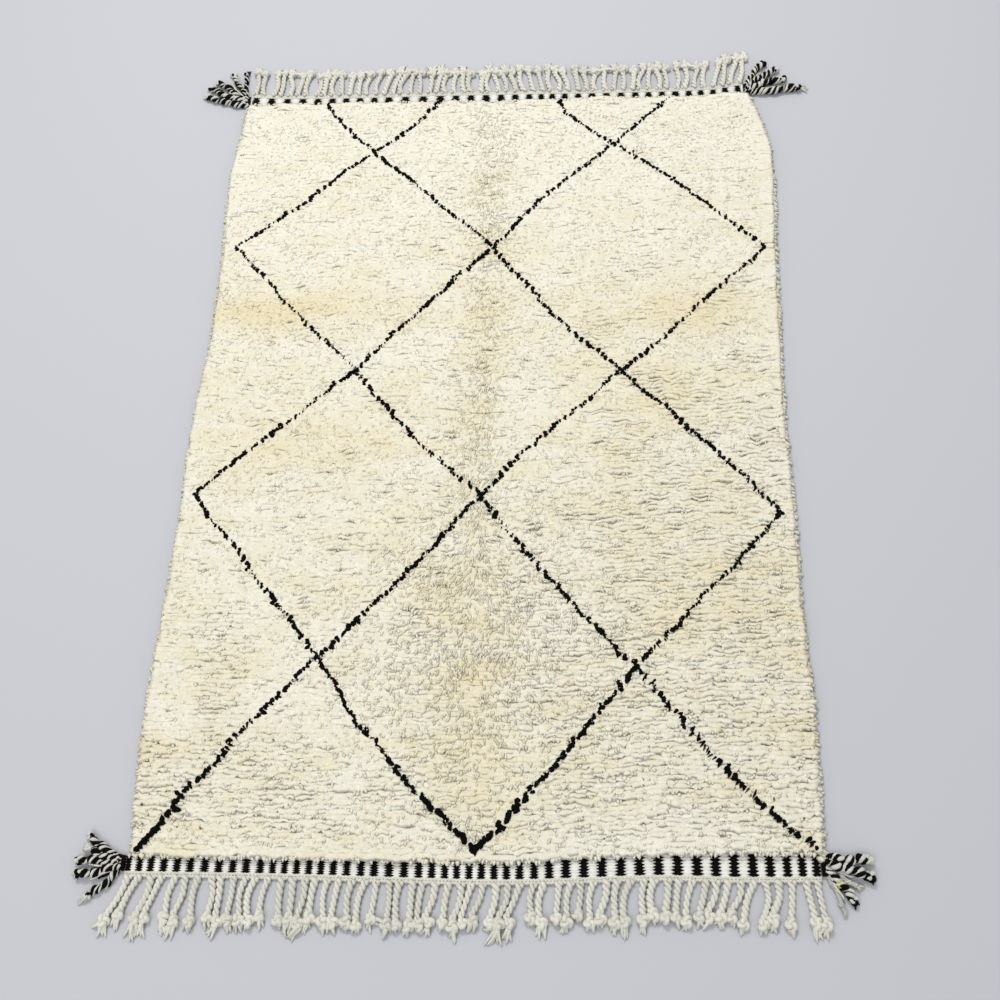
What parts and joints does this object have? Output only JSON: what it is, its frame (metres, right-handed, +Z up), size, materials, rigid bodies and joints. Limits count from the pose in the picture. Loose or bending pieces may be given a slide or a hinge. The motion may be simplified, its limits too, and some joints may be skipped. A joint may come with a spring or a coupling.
{
  "type": "mrirt rug",
  "caption": "Hand-knotted shaggy wool rug: cream pile with a dark diamond lattice, barred flat-woven ends, knotted warp fringes and plied corner tassels.",
  "frame": {"origin": "middle of the whole rug's box, on the floor", "axes": "+X across the rug, +Y up its length from the near fringe to the far fringe, +Z up"},
  "size_m": [1.7242, 2.4244, 0.0261],
  "materials": {
    "pile_wool": "dense undyed cream wool pile, matt, with a thin black diamond lattice",
    "band_wool": "flat-woven wool barred in black and ivory, matt",
    "warp_wool": "twisted ivory wool cord, matt",
    "plied_wool": "plied black and ivory wool cord, matt"
  },
  "bodies": {
    "root": {"pile_field": "pile_wool", "band_near": "band_wool", "band_far": "band_wool", "fringe_near": "warp_wool", "fringe_far": "warp_wool", "tassel_near_left": "plied_wool", "tassel_near_right": "plied_wool", "tassel_far_left": "plied_wool", "tassel_far_right": "plied_wool"}
  },
  "joints": []
}
